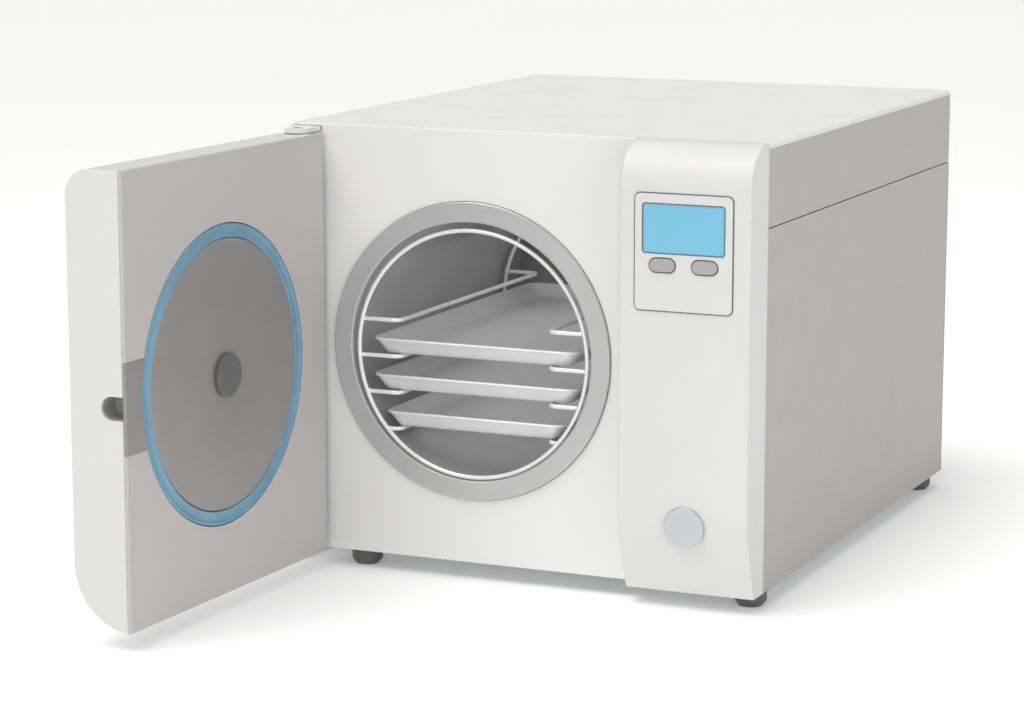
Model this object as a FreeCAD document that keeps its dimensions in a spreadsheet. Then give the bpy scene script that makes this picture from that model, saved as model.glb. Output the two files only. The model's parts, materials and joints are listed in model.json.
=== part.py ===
import FreeCAD, Part
import math
import os
import re
import Sketcher

# Benchtop autoclave, in millimetres.  +X is to the right, +Y to the back, +Z up.
# The origin is on the bench, under the middle of the housing.  The door is drawn shut and
# then swung open about its hinge, because open is how the machine stands at rest.

Vector = FreeCAD.Vector

SIZES = {
    # housing
    "housing_width": 480.0, "housing_depth": 580.0, "housing_height": 412.0,
    "foot_height": 16.0, "foot_radius": 15.0, "tread_height": 5.0, "tread_radius": 11.0,
    "sheet": 1.5, "gap": 0.3, "seam_height": 351.0, "seam_gap": 1.0, "top_lip": 5.2,
    "edge_round": 5.0, "flange_width": 12.0, "fascia_thickness": 4.0, "frame_thickness": 2.5,
    "tray_wall_height": 30.0, "slot_length": 60.0, "slot_width": 6.0, "slot_pitch": 20.0,
    # chamber
    "chamber_x": -51.0, "chamber_z": 219.0, "chamber_radius": 123.0, "vessel_wall": 3.0,
    "ring_radius": 142.0, "ring_proud": 3.0, "chamber_depth": 440.0, "dish_round": 30.0,
    "jacket_radius": 150.0, "jacket_inner": 130.5, "jacket_back": 20.0, "band_length": 150.0,
    # control column
    "column_left": 115.0, "column_proud": 42.0, "column_wall": 3.0, "column_foot_depth": 21.0,
    "column_foot_height": 60.0, "panel_low_x": 131.0, "panel_high_x": 223.5,
    "panel_low_z": 279.0, "panel_high_z": 384.0, "panel_thickness": 1.2,
    "screen_low_x": 138.5, "screen_high_x": 216.0, "screen_low_z": 331.0,
    "screen_high_z": 375.0, "button_width": 24.0, "button_height": 12.0, "button_z": 320.0,
    "button_left_x": 157.5, "button_right_x": 197.7, "button_proud": 1.8,
    "badge_x": 180.0, "badge_z": 82.0, "badge_radius": 19.0,
    # door, as it lies when shut
    "door_left": -236.0, "door_right": 111.0, "door_low": 17.0, "door_high": 420.0,
    "door_gap": 4.0, "door_thickness": 58.0, "liner": 3.0, "door_wall": 3.0,
    "door_top_round": 24.0, "door_foot_round": 57.5, "door_hinge_round": 20.0,
    "hinge_x": -219.0, "hinge_y": -314.5, "hinge_pin_radius": 4.0, "open_angle": 92.0,
    "plate_radius": 123.8, "gasket_radius": 137.0, "gasket_proud": 0.7, "boss_radius": 20.0,
    "boss_proud": 5.5, "plate_thickness": 10.0, "seal_seat": 6.2, "frame_web": 5.0,
    "arm_half_width": 12.0, "arm_back_y": -240.0,
    # lock
    "lock_z": 215.0, "lock_y": -308.3, "strap_height": 81.0, "slot_height": 21.0,
    "slot_depth": 22.0, "slot_inset": 12.0, "bolt_height": 17.0, "bolt_width": 17.5,
    "bolt_length": 32.0, "plunger_radius": 5.0, "solenoid_length": 58.0,
    # rack and trays
    "wire_radius": 2.0, "hoop_radius": 117.5, "hoop_z": 216.2, "hoop_front_y": -288.0,
    "hoop_back_y": 47.0, "rail_x": 77.0, "rail_top_z": 243.0, "rail_pitch": 35.0,
    "rail_bend": 8.0, "tray_half_width": 108.0, "low_tray_half_width": 95.0,
    "tray_flare": 12.0, "tray_height": 15.0,
    "tray_front_y": -285.5, "tray_length": 378.0, "tray_wall": 1.0, "tray_nose": 6.0,
    # rear and inside
    "fan_x": -130.0, "fan_z": 200.0, "fan_size": 120.0, "fan_depth": 25.0, "fan_bore": 57.0,
    "hub_radius": 21.0, "blade_length": 34.0, "blade_width": 16.0, "blade_thickness": 2.0,
    "blade_pitch": 38.0, "grille_radius": 52.0, "grille_pitch": 14.0,
    "service_z": 70.0, "inlet_x": 185.0, "rocker_x": 125.0, "port_z": 60.0,
    "drain_x": -180.0, "waste_x": -140.0, "valve_x": 50.0, "valve_z": 280.0,
    "port_radius": 5.0, "port_length": 24.0, "port_bore": 3.0, "port_hole": 7.0,
    "screw_radius": 3.5, "screw_height": 2.0, "screw_x": 230.0, "screw_low_z": 26.0,
    "screw_high_z": 341.0,
    "bay_left": 104.0, "shelf_z": 371.0, "inner_sheet": 1.0, "bay_length": 425.0,
    "tank_front_y": -262.0, "tank_back_y": 150.0, "tank_height": 40.0, "tank_wall": 3.0,
    "filler_y": -225.0, "filler_radius": 20.0,
    "pipe_radius": 4.0, "pipe_bend": 12.0, "hose_radius": 5.0, "hose_bend": 8.0,
    "coil_y": 222.0, "coil_left": -205.0, "coil_right": -60.0, "coil_low_z": 150.0,
    "coil_pitch": 24.0,
}

doc = FreeCAD.newDocument("autoclave")
sheet = doc.addObject("Spreadsheet::Sheet", "dims")
parts = {}


def fill_sheet():
    """One row for each driving dimension: its name, and its value under that alias."""
    for row, (name, value) in enumerate(SIZES.items(), 1):
        sheet.set(f"A{row}", name)
        sheet.set(f"B{row}", str(value))
        sheet.setAlias(f"B{row}", name)
    doc.recompute()


def in_sheet(text):
    """The text of an expression, with each dimension's name pointed at the sheet."""
    return re.sub(r"[a-z]\w+", lambda word: "dims." * (word[0] in SIZES) + word[0], str(text))


def size(name):
    """A dimension as the sheet holds it."""
    return float(sheet.get(name))


def bind(thing, path, text):
    thing.setExpression(path, in_sheet(text))


def place(thing, x="0", y="0", z="0"):
    for axis, text in zip("xyz", (x, y, z)):
        bind(thing, f"Placement.Base.{axis}", text)
    return thing


def finish(thing, label):
    """Names a finished sub-part, whose label is also its file's name."""
    thing.Label = label
    parts[label] = thing
    return thing


# ---- primitives and booleans -------------------------------------------------------------

ALONG = {
    "x": FreeCAD.Rotation(Vector(0, 1, 0), 90),
    "y": FreeCAD.Rotation(Vector(1, 0, 0), -90),
    "z": FreeCAD.Rotation(),
}


def block(name, x, y, z):
    """A box between the low and high values of x, y and z."""
    box = doc.addObject("Part::Box", name)
    for path, (low, high) in zip(("Length", "Width", "Height"), (x, y, z)):
        bind(box, path, f"({high}) - ({low})")
    return place(box, x[0], y[0], z[0])


def rod(name, axis, start, radius, length):
    """A cylinder that runs along an axis from its start point."""
    cylinder = doc.addObject("Part::Cylinder", name)
    bind(cylinder, "Radius", radius)
    bind(cylinder, "Height", length)
    cylinder.Placement = FreeCAD.Placement(Vector(), ALONG[axis])
    return place(cylinder, *start)


def cone(name, axis, start, radii, length):
    taper = doc.addObject("Part::Cone", name)
    bind(taper, "Radius1", radii[0])
    bind(taper, "Radius2", radii[1])
    bind(taper, "Height", length)
    taper.Placement = FreeCAD.Placement(Vector(), ALONG[axis])
    return place(taper, *start)


def group(name, things):
    """Separate solids that share one sub-part."""
    compound = doc.addObject("Part::Compound", name)
    compound.Links = things
    return compound


def fuse(name, things):
    joined = doc.addObject("Part::MultiFuse", name)
    joined.Shapes = things
    joined.Refine = True
    return joined


def cut(name, base, tools):
    removed = doc.addObject("Part::Cut", name)
    removed.Base = base
    removed.Tool = tools[0] if len(tools) == 1 else group(name + "_tools", tools)
    return removed


def rounded(name, base, radius, test):
    """Rounds the edges of a Part object that the test picks."""
    doc.recompute()
    fillet = doc.addObject("Part::Fillet", name)
    fillet.Base = base
    chosen = [number for number, edge in enumerate(base.Shape.Edges, 1) if test(edge)]
    fillet.Edges = [(number, radius, radius) for number in chosen]
    return fillet


def run_along(points, bend):
    """A wire of straight runs through the points, joined by arcs of the bend's radius."""
    edges = []
    last = points[0]
    for before, corner, after in zip(points, points[1:], points[2:]):
        back = (before - corner).normalize()
        ahead = (after - corner).normalize()
        half_turn = (math.pi - back.getAngle(ahead)) / 2
        reach = bend * math.tan(half_turn)
        start = corner + back * reach
        end = corner + ahead * reach
        middle = corner + (back + ahead).normalize() * (bend / math.cos(half_turn) - bend)
        edges.append(Part.LineSegment(last, start).toShape())
        edges.append(Part.Arc(start, middle, end).toShape())
        last = end
    edges.append(Part.LineSegment(last, points[-1]).toShape())
    return Part.Wire(edges)


def bar_along(points, bend, radius):
    """A round bar that follows straight runs and tangent arcs."""
    path = run_along(points, bend)
    direction = points[1] - points[0]
    section = Part.Wire(Part.makeCircle(radius, points[0], direction))
    return path.makePipeShell([section], True, True)


# ---- sketched bodies ---------------------------------------------------------------------

def new_body(name, *start):
    body = doc.addObject("PartDesign::Body", name)
    return place(body, *start) if start else body


def sketch_on(body, role, offset="0"):
    """A sketch on one of the body's own origin planes, moved along that plane's normal."""
    plane = [feature for feature in body.Origin.OriginFeatures if feature.Role == role][0]
    sketch = body.newObject("Sketcher::SketchObject", body.Name + "_sketch")
    sketch.AttachmentSupport = [(plane, "")]
    sketch.MapMode = "FlatFace"
    bind(sketch, "AttachmentOffset.Base.z", offset)
    return sketch


def fix(sketch, kind, geometry, vertex, text):
    """Ties a point's distance from the sketch's origin to the sheet."""
    index = sketch.addConstraint(Sketcher.Constraint(kind, -1, 1, geometry, vertex, 0.0))
    bind(sketch, f"Constraints[{index}]", text)


def polygon(body, role, points, offset="0"):
    """A closed outline of straight lines whose corners are tied to the sheet."""
    sketch = sketch_on(body, role, offset)
    count = len(points)
    for number in range(count):
        ends = [math.tau * (number + step) / count for step in (0, 1)]
        start, end = (Vector(100 * math.cos(turn), 100 * math.sin(turn), 0) for turn in ends)
        sketch.addGeometry(Part.LineSegment(start, end))
    for number in range(count):
        following = (number + 1) % count
        sketch.addConstraint(Sketcher.Constraint("Coincident", number, 2, following, 1))
    for number, (across, up) in enumerate(points):
        fix(sketch, "DistanceX", number, 1, across)
        fix(sketch, "DistanceY", number, 1, up)
    return sketch


def rectangle(body, role, across, up, offset="0"):
    corners = [(across[0], up[0]), (across[1], up[0]), (across[1], up[1]), (across[0], up[1])]
    return polygon(body, role, corners, offset)


def circles(body, role, items, offset="0"):
    """Circles given as (across, up, radius)."""
    sketch = sketch_on(body, role, offset)
    for number, (across, up, radius) in enumerate(items):
        sketch.addGeometry(Part.Circle(Vector(0, 0, 0), Vector(0, 0, 1), 10))
        fix(sketch, "DistanceX", number, 3, across)
        fix(sketch, "DistanceY", number, 3, up)
        index = sketch.addConstraint(Sketcher.Constraint("Radius", number, 10))
        bind(sketch, f"Constraints[{index}]", radius)
    return sketch


def pad(body, sketch, length, backwards=False):
    feature = body.newObject("PartDesign::Pad", body.Name + "_pad")
    feature.Profile = sketch
    feature.Reversed = backwards
    bind(feature, "Length", length)
    return feature


def pocket(body, sketch):
    """Cuts the sketch right through, both ways."""
    doc.recompute()
    before = body.Shape.Volume
    feature = body.newObject("PartDesign::Pocket", body.Name + "_pocket")
    feature.Profile = sketch
    feature.Type = "ThroughAll"
    feature.Midplane = True
    doc.recompute()
    if body.Shape.Volume >= before:
        raise RuntimeError(f"{feature.Name} cuts nothing")
    return feature


def sink(body, sketch, depth, backwards=False):
    """Cuts the sketch to a depth, against its plane's normal unless backwards."""
    doc.recompute()
    before = body.Shape.Volume
    feature = body.newObject("PartDesign::Pocket", body.Name + "_sink")
    feature.Profile = sketch
    feature.Reversed = backwards
    bind(feature, "Length", depth)
    doc.recompute()
    if body.Shape.Volume >= before:
        raise RuntimeError(f"{feature.Name} cuts nothing")
    return feature


def revolve(body, points):
    """Turns an outline of (radius, distance along Y) about the body's own Y axis."""
    sketch = polygon(body, "XY_Plane", points)
    feature = body.newObject("PartDesign::Revolution", body.Name + "_turned")
    feature.Profile = sketch
    feature.ReferenceAxis = (sketch, ["V_Axis"])
    feature.Angle = 360
    return feature


def pick(body, kind, test):
    shapes = getattr(body.Tip.Shape, kind + "s")
    return [f"{kind}{number}" for number, item in enumerate(shapes, 1) if test(item)]


def soften(body, radius, test):
    """Fillets the edges that the test picks."""
    doc.recompute()
    tip = body.Tip
    edges = pick(body, "Edge", test)
    feature = body.newObject("PartDesign::Fillet", body.Name + "_fillet")
    feature.Base = (tip, edges)
    bind(feature, "Radius", radius)
    return feature


def hollow(body, wall, test):
    """Leaves a shell of the wall's thickness, open at the faces that the test picks."""
    doc.recompute()
    tip = body.Tip
    faces = pick(body, "Face", test)
    feature = body.newObject("PartDesign::Thickness", body.Name + "_shell")
    feature.Base = (tip, faces)
    bind(feature, "Value", wall)
    feature.Reversed = True
    feature.Join = 1
    return feature


def near(value, target, slack=0.05):
    return abs(value - target) < slack


def lies_at(item, axis, target):
    """True for an edge or face that lies wholly in the plane axis = target."""
    box = item.BoundBox
    low, high = (box.XMin, box.YMin, box.ZMin), (box.XMax, box.YMax, box.ZMax)
    place_on = "xyz".index(axis)
    return near(low[place_on], target) and near(high[place_on], target)


def runs(edge, axis):
    """True for a straight edge parallel to the axis."""
    box = edge.BoundBox
    spans = {"x": box.XLength, "y": box.YLength, "z": box.ZLength}
    return spans[axis] > 1 and all(span < 0.01 for name, span in spans.items() if name != axis)


# ---- places worked out from the sheet ----------------------------------------------------

HALF = "housing_width / 2"
FRONT = "-housing_depth / 2"
BACK = "housing_depth / 2"
TOP = "(foot_height + housing_height)"
PANEL_Y = "(-housing_depth / 2 - column_proud)"
SHUT_Y = "(-housing_depth / 2 - door_gap)"
BEHIND = "(-housing_depth / 2 + fascia_thickness + gap)"
FLOOR = "(foot_height + sheet)"
REAR = "(housing_depth / 2 - sheet)"
half = SIZES["housing_width"] / 2
front = -SIZES["housing_depth"] / 2
back = SIZES["housing_depth"] / 2
top = SIZES["foot_height"] + SIZES["housing_height"]


# ---- housing -----------------------------------------------------------------------------

def make_base_tray():
    """Folded steel tray that everything stands on, with two rows of air slots."""
    tray = new_body("BaseTray")
    across = (f"-({HALF}) + 3", f"{HALF} - 3")
    along = (f"{BEHIND} + 4.5", f"{BACK} - 3.5")
    pad(tray, rectangle(tray, "XY_Plane", across, along, "foot_height"), "tray_wall_height")
    hollow(tray, "sheet", lambda face: lies_at(face, "z", SIZES["foot_height"]
                                               + SIZES["tray_wall_height"]))
    slot = rectangle(tray, "XY_Plane", ("-150", "-150 + slot_length"), ("-180", "-180 + slot_width"),
                     FLOOR)
    sink(tray, slot, "2 * sheet")
    pattern = tray.newObject("PartDesign::LinearPattern", "AirSlots")
    pattern.Originals = [tray.Tip]
    axis = [item for item in tray.Origin.OriginFeatures if item.Role == "Y_Axis"][0]
    pattern.Direction = (axis, [""])
    pattern.Occurrences = 16
    bind(pattern, "Length", "15 * slot_pitch")
    tray.Tip = pattern
    finish(tray, "base_tray")


def make_feet():
    """Four rubber feet.  The front left one stands inboard of the door's lower pivot."""
    places = [("-172", "-268"), ("222", "-268"), ("-220", "264"), ("220", "264")]
    feet = []
    for number, (x, y) in enumerate(places):
        stem = rod(f"FootTop{number}", "z", (x, y, "tread_height"), "foot_radius",
                   "foot_height - tread_height")
        tread = cone(f"FootTread{number}", "z", (x, y, "0"), ("tread_radius", "foot_radius"),
                     "tread_height")
        feet.append(fuse(f"Foot{number}", [stem, tread]))
    finish(group("Feet", feet), "feet")


def make_front_frame():
    """Steel bulkhead behind the fascia that holds the vessel by its neck."""
    frame = new_body("FrontFrame")
    y = f"-({BEHIND} + 2)"
    outline = rectangle(frame, "XZ_Plane", (f"-({HALF}) + 4", f"{HALF} - 4"),
                        ("foot_height + 2", f"{TOP} - 8"), y)
    pad(frame, outline, "frame_thickness", True)
    pocket(frame, circles(frame, "XZ_Plane", [("chamber_x", "chamber_z",
                                               "chamber_radius + vessel_wall + 1.5")]))
    pocket(frame, rectangle(frame, "XZ_Plane", ("column_left + 30", f"{HALF} - 20"), ("90", "390")))
    finish(frame, "front_frame")


def make_fascia():
    """White front plate from the left edge to the control column."""
    fascia = new_body("FrontFascia")
    outline = rectangle(fascia, "XZ_Plane", (f"-({HALF})", "column_left - gap"),
                        (f"foot_height + gap", TOP), f"-({FRONT})")
    pad(fascia, outline, "fascia_thickness", True)
    soften(fascia, "edge_round + 2", lambda edge: runs(edge, "y") and near(edge.BoundBox.XMin, -half)
           and edge.BoundBox.ZMin > 100)
    soften(fascia, "1.2", lambda edge: lies_at(edge, "y", front) and edge.BoundBox.XMin < 50)
    pocket(fascia, circles(fascia, "XZ_Plane", [("chamber_x", "chamber_z", "ring_radius + 0.4")]))
    arm = rectangle(fascia, "XZ_Plane", ("hinge_x - 13.5", "hinge_x + 13.5"),
                    ("door_high + 0.6", "door_high + 5.4"))
    pocket(fascia, arm)
    finish(fascia, "front_fascia")


def make_side_panel(label, side):
    """Grey side sheet, folded in at the front and the back; side is -1 or 1."""
    panel = new_body("SidePanel" + ("Left" if side < 0 else "Right"))
    outer = f"{side} * ({HALF})"
    inner = f"{side} * ({HALF} - sheet)"
    lip = f"{side} * ({HALF} - flange_width)"
    ahead, behind = BEHIND, f"({REAR} - 0.2)"
    points = [(outer, ahead), (outer, behind), (lip, behind), (lip, f"{behind} - sheet"),
              (inner, f"{behind} - sheet"), (inner, f"{ahead} + sheet"),
              (lip, f"{ahead} + sheet"), (lip, ahead)]
    pad(panel, polygon(panel, "XY_Plane", points, "foot_height + 0.5"),
        "seam_height - foot_height - 0.5")
    soften(panel, "1", lambda edge: runs(edge, "z") and near(edge.BoundBox.XMin, side * half))
    finish(panel, label)


def make_rear_panel():
    """Grey back sheet with fan slots and holes for the services."""
    panel = new_body("RearPanel")
    outline = rectangle(panel, "XZ_Plane", (f"-({HALF})", HALF), ("foot_height + 0.5", "seam_height"),
                        f"-({REAR})")
    pad(panel, outline, "sheet", True)
    for level in range(-3, 4):
        reach = f"sqrt(grille_radius ^ 2 - ({level} * grille_pitch) ^ 2)"
        middle = f"fan_z + ({level}) * grille_pitch"
        slot = rectangle(panel, "XZ_Plane", (f"fan_x - {reach}", f"fan_x + {reach}"),
                         (f"{middle} - slot_width / 2", f"{middle} + slot_width / 2"))
        pocket(panel, slot)
    pocket(panel, rectangle(panel, "XZ_Plane", ("inlet_x - 14", "inlet_x + 14"),
                            ("service_z - 10.5", "service_z + 10.5")))
    pocket(panel, rectangle(panel, "XZ_Plane", ("rocker_x - 14.5", "rocker_x + 14.5"),
                            ("service_z - 10.8", "service_z + 10.8")))
    ports = [("drain_x", "port_z", "port_hole"), ("waste_x", "port_z", "port_hole"),
             ("valve_x", "valve_z", "port_hole")]
    pocket(panel, circles(panel, "XZ_Plane", ports))
    finish(panel, "rear_panel")


def make_hood():
    """Lift-off hood: grey skirts round three sides below the seam line's gap, and a white top."""
    skirt = new_body("HoodSkirt")
    low = "seam_height + seam_gap"
    high = f"{TOP} - top_lip"
    ahead = BEHIND
    outer, inner = HALF, f"({HALF} - sheet)"
    points = [(f"-({outer})", ahead), (f"-({inner})", ahead), (f"-({inner})", REAR),
              (inner, REAR), (inner, ahead), (outer, ahead), (outer, BACK), (f"-({outer})", BACK)]
    pad(skirt, polygon(skirt, "XY_Plane", points, low), f"{high} - ({low})")
    soften(skirt, "1.2", lambda edge: runs(edge, "z") and near(edge.BoundBox.YMin, back))
    finish(skirt, "hood_skirt")

    cover = new_body("TopPanel")
    outline = rectangle(cover, "XY_Plane", (f"-({HALF})", HALF), (ahead, BACK), high)
    pad(cover, outline, "top_lip")
    soften(cover, "edge_round", lambda edge: lies_at(edge, "z", top) and (
        lies_at(edge, "x", half) or lies_at(edge, "x", -half) or lies_at(edge, "y", back)))
    inside = rectangle(cover, "XY_Plane", (f"-({HALF} - 2.5)", f"{HALF} - 2.5"),
                       (f"{ahead} - 5", f"{BACK} - 2.5"), high)
    sink(cover, inside, "top_lip - sheet", True)
    finish(cover, "top_panel")


def make_column():
    """White moulded column at the right, curved back at its top and foot."""
    column = new_body("ColumnShell")
    foot_y = f"({PANEL_Y} + column_foot_depth)"
    points = [(BEHIND, "foot_height"), (foot_y, "foot_height"),
              (PANEL_Y, "foot_height + column_foot_height"), (PANEL_Y, TOP), (BEHIND, TOP)]
    outline = polygon(column, "YZ_Plane", points, "column_left")
    pad(column, outline, f"{HALF} - column_left")
    face_y = front - SIZES["column_proud"]
    soften(column, "column_proud", lambda edge: runs(edge, "x") and near(edge.BoundBox.YMin, face_y)
           and near(edge.BoundBox.ZMin, top))
    sag = SIZES["column_foot_depth"]
    rise = SIZES["column_foot_height"]
    bow = math.hypot(sag, rise) / 2 / math.tan(math.atan2(sag, rise) / 2)
    soften(column, f"{0.98 * bow:.1f}", lambda edge: runs(edge, "x")
           and near(edge.BoundBox.YMin, face_y) and edge.BoundBox.ZMax < 100)
    hollow(column, "column_wall", lambda face: lies_at(face, "y", front
                                                       + SIZES["fascia_thickness"] + SIZES["gap"]))
    soften(column, "2", lambda edge: lies_at(edge, "z", edge.BoundBox.ZMin) is False
           and (lies_at(edge, "x", half) or lies_at(edge, "x", SIZES["column_left"]))
           and edge.BoundBox.ZLength > 5 and edge.BoundBox.YMax < front + 5
           and edge.BoundBox.YMin < front - 10)
    window = rectangle(column, "XZ_Plane", ("screen_low_x - 0.4", "screen_high_x + 0.4"),
                       ("screen_low_z - 0.4", "screen_high_z + 0.4"))
    pocket(column, window)
    for name in ("button_left_x", "button_right_x"):
        hole = rectangle(column, "XZ_Plane", (f"{name} - button_width / 2 - 0.5",
                                              f"{name} + button_width / 2 + 0.5"),
                         ("button_z - button_height / 2 - 0.5", "button_z + button_height / 2 + 0.5"))
        pocket(column, hole)
    way = rectangle(column, "YZ_Plane", ("lock_y - bolt_width / 2 - 0.6", "lock_y + bolt_width / 2 + 0.6"),
                    ("lock_z - bolt_height / 2 - 0.6", "lock_z + bolt_height / 2 + 0.6"),
                    "column_left - 1")
    sink(column, way, "column_wall + 4", True)
    finish(column, "column_shell")


def stadium(name, x, z, width, height, y, depth):
    """A bar with round ends, lying along X, that runs back from y."""
    middle = block(name + "Middle", (f"{x} - ({width} - {height}) / 2", f"{x} + ({width} - {height}) / 2"),
                   (y, f"{y} + {depth}"), (f"{z} - {height} / 2", f"{z} + {height} / 2"))
    ends = [rod(f"{name}End{number}", "y", (f"{x} + {side} * ({width} - {height}) / 2", y, z),
                f"{height} / 2", depth) for number, side in enumerate((-1, 1))]
    return fuse(name, [middle] + ends)


def make_panel():
    """Control panel plate, its display window and the display's circuit board."""
    plate = new_body("PanelPlate")
    outline = rectangle(plate, "XZ_Plane", ("panel_low_x", "panel_high_x"),
                        ("panel_low_z", "panel_high_z"), f"-({PANEL_Y} - panel_thickness)")
    pad(plate, outline, "panel_thickness", True)
    soften(plate, "5", lambda edge: runs(edge, "y"))
    pocket(plate, rectangle(plate, "XZ_Plane", ("screen_low_x", "screen_high_x"),
                            ("screen_low_z", "screen_high_z")))
    openings = [stadium(f"ButtonHole{number}", name, "button_z", "(button_width + 0.8)",
                        "(button_height + 0.8)", f"{PANEL_Y} - 5", "10")
                for number, name in enumerate(("button_left_x", "button_right_x"))]
    finish(cut("PanelPlateCut", plate, openings), "panel_plate")

    window = block("Window", ("screen_low_x + 0.1", "screen_high_x - 0.1"),
                   (f"{PANEL_Y} - panel_thickness + 0.2", f"{PANEL_Y} + column_wall"),
                   ("screen_low_z + 0.1", "screen_high_z - 0.1"))
    finish(rounded("DisplayWindow", window, 2.0, lambda edge: runs(edge, "y")), "display_window")

    board = block("BoardPlate", ("panel_low_x", "panel_high_x"), (f"{PANEL_Y} + 19", f"{PANEL_Y} + 20.6"),
                  ("panel_low_z", "panel_high_z"))
    module = block("DisplayModule", ("screen_low_x", "screen_high_x"),
                   (f"{PANEL_Y} + column_wall + 0.5", f"{PANEL_Y} + 19"),
                   ("screen_low_z", "screen_high_z"))
    switches = [block(f"Switch{number}", (f"{name} - 3", f"{name} + 3"),
                      (f"{PANEL_Y} + 14", f"{PANEL_Y} + 19"), ("button_z - 3", "button_z + 3"))
                for number, name in enumerate(("button_left_x", "button_right_x"))]
    finish(fuse("DisplayBoard", [board, module] + switches), "display_board")

    badge = rod("Badge", "y", ("badge_x", f"{PANEL_Y} - 1.2", "badge_z"), "badge_radius", "1.2")
    finish(rounded("BadgeRounded", badge, 0.5, lambda edge: lies_at(
        edge, "y", front - SIZES["column_proud"] - 1.2)), "badge")


def make_button(label, x):
    """A stadium cap that stands through the panel, a flange behind it and a stem."""
    cap = stadium(label + "Cap", x, "button_z", "button_width", "button_height",
                  f"({PANEL_Y} - panel_thickness - button_proud)",
                  "(panel_thickness + button_proud + column_wall + 0.5)")
    flange = stadium(label + "Flange", x, "button_z", "(button_width + 4)", "(button_height + 4)",
                     f"({PANEL_Y} + column_wall + 0.3)", "1.5")
    stem = rod(label + "Stem", "y", (x, f"{PANEL_Y} + column_wall + 1", "button_z"), "2", "8.5")
    joined = fuse(label + "Joined", [cap, flange, stem])
    crown = front - SIZES["column_proud"] - SIZES["panel_thickness"] - SIZES["button_proud"]
    finish(rounded(label, joined, 1.0, lambda edge: lies_at(edge, "y", crown)), label)


# ---- chamber -----------------------------------------------------------------------------

def make_chamber():
    """Steel vessel, its front ring, the band heater round it and the insulation."""
    ring_y = f"({FRONT} - ring_proud)"
    neck_y = f"({FRONT} + 2.2)"
    bore, wall = "chamber_radius", "(chamber_radius + vessel_wall)"
    end_y = f"({ring_y} + chamber_depth)"

    ring = new_body("ChamberRing", "chamber_x", "0", "chamber_z")
    revolve(ring, [(bore, ring_y), ("ring_radius", ring_y), ("ring_radius", f"{BEHIND} + 1.8"),
                   (f"{wall} + 0.1", f"{BEHIND} + 1.8"), (f"{wall} + 0.1", neck_y), (bore, neck_y)])
    soften(ring, "1.2", lambda edge: near(edge.BoundBox.YMax, front - SIZES["ring_proud"]))
    finish(ring, "chamber_ring")

    vessel = new_body("Vessel", "chamber_x", "0", "chamber_z")
    revolve(vessel, [(bore, f"{neck_y} + 0.1"), (wall, f"{neck_y} + 0.1"), (wall, end_y),
                     ("0", end_y), ("0", f"{end_y} - vessel_wall"), (bore, f"{end_y} - vessel_wall")])
    vessel_end = front - SIZES["ring_proud"] + SIZES["chamber_depth"]
    soften(vessel, "dish_round + vessel_wall", lambda edge: near(edge.BoundBox.YMin, vessel_end)
           and edge.BoundBox.XLength > 100)
    soften(vessel, "dish_round", lambda edge: near(
        edge.BoundBox.YMin, vessel_end - SIZES["vessel_wall"]) and edge.BoundBox.XLength > 100)
    finish(vessel, "chamber_vessel")

    band = new_body("HeaterBand", "chamber_x", "0", "chamber_z")
    near_y, far_y = "-70", "(band_length - 70)"
    revolve(band, [(f"{wall} + 0.2", near_y), (f"{wall} + 3", near_y), (f"{wall} + 3", far_y),
                   (f"{wall} + 0.2", far_y)])
    finish(band, "heater_band")

    jacket = new_body("Jacket", "chamber_x", "0", "chamber_z")
    start_y = f"({BEHIND} + 8)"
    revolve(jacket, [("jacket_inner", start_y), ("jacket_radius", start_y),
                     ("jacket_radius", f"{end_y} + jacket_back"), ("0", f"{end_y} + jacket_back"),
                     ("0", f"{end_y} + 1"), ("jacket_inner", f"{end_y} + 1")])
    soften(jacket, "12", lambda edge: near(edge.BoundBox.YMin, vessel_end + SIZES["jacket_back"]))
    finish(jacket, "insulation_jacket")


def make_saddles():
    """Two sheet saddles that carry the jacketed vessel on the base tray."""
    saddles = []
    for number, y in enumerate(("-200", "80")):
        web = block(f"SaddleWeb{number}", ("chamber_x - 110", "chamber_x + 110"), (y, f"{y} + 3"),
                    (FLOOR, "140"))
        hollow_way = rod(f"SaddleWay{number}", "y", ("chamber_x", f"{y} - 5", "chamber_z"),
                         "jacket_radius + 0.3", "15")
        saddles.append(cut(f"Saddle{number}", web, [hollow_way]))
    finish(group("Saddles", saddles), "chamber_saddles")


def make_inner_frame():
    """Bent sheet round the chamber bay: two walls and the shelf for the water tanks."""
    frame = new_body("InnerFrame")
    left, right = f"(-({HALF}) + 5)", "bay_left"
    high, thick = "shelf_z + inner_sheet", "inner_sheet"
    outer = [(left, FLOOR), (left, high), (right, high), (right, FLOOR), (f"{right} - {thick}", FLOOR),
             (f"{right} - {thick}", "shelf_z"), (f"{left} + {thick}", "shelf_z"),
             (f"{left} + {thick}", FLOOR)]
    pad(frame, polygon(frame, "XZ_Plane", outer, "265"), "bay_length", True)
    finish(frame, "inner_frame")


# ---- door --------------------------------------------------------------------------------

def swing_open(thing, x=0.0, z=0.0):
    """Moves a piece to (x, z) on the shut door, then turns it about the hinge to its rest."""
    turn = FreeCAD.Rotation(Vector(0, 0, 1), -SIZES["open_angle"])
    centre = Vector(SIZES["hinge_x"], SIZES["hinge_y"], 0)
    swing = FreeCAD.Placement(centre - turn.multVec(centre), turn)
    thing.Placement = swing.multiply(FreeCAD.Placement(Vector(x, 0, z), FreeCAD.Rotation()))
    return thing


def shut_plane(forward):
    """Offset of an XZ sketch that lies this far ahead of the shut door's inner face."""
    return f"-({SHUT_Y} - ({forward}))"


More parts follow.
